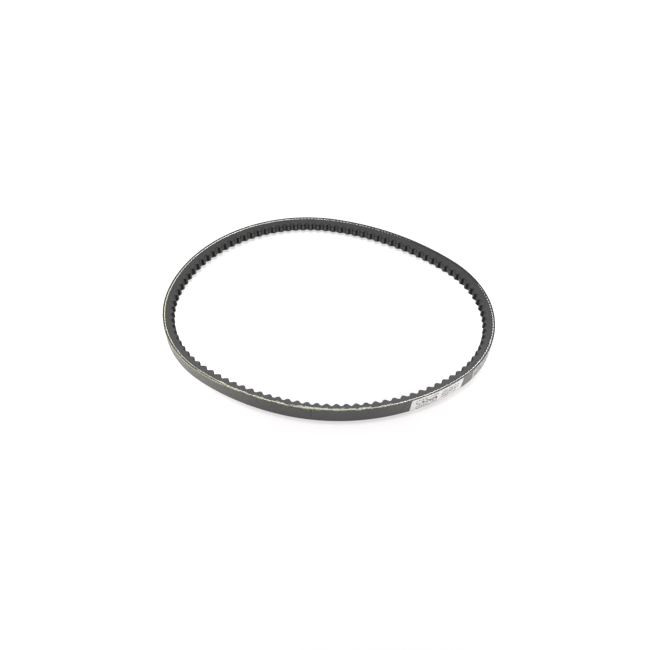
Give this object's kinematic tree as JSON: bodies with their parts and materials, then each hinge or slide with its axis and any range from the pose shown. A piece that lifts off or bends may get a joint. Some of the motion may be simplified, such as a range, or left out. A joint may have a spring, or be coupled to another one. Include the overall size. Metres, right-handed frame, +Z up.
{
  "type": "cogged v belt",
  "caption": "Raw-edge cogged V-belt: an endless bonded rubber ring with rounded inner cogs, a wound tensile cord and a fabric back, lying on its side.",
  "frame": {"origin": "centre of the bottom of the bounding box, on the surface the belt lies on", "axes": "+Z up, square to the loop, along the width of the back; +X along the longer way across the loop"},
  "size_m": [0.3007, 0.2488, 0.0136],
  "materials": {
    "backing_fabric": "woven fabric soaked in rubber, dark warm grey with a faint sheen",
    "belt_rubber": "matt black fibre-filled rubber, cut faces dark grey",
    "gum_rubber": "matt black rubber",
    "cord": "twisted off-white polyester cord",
    "cog_facing": "thin black fabric over the cogs",
    "print_film": "matt off-white transfer film with small dark print marks"
  },
  "bodies": {
    "root": {"backing_fabric": "backing_fabric", "overcord_rubber": "belt_rubber", "outer_gum": "gum_rubber", "tensile_cord": "cord", "inner_gum": "gum_rubber", "compression_rubber": "belt_rubber", "cog_facing": "cog_facing", "label_main": "print_film", "label_small": "print_film"}
  },
  "joints": []
}
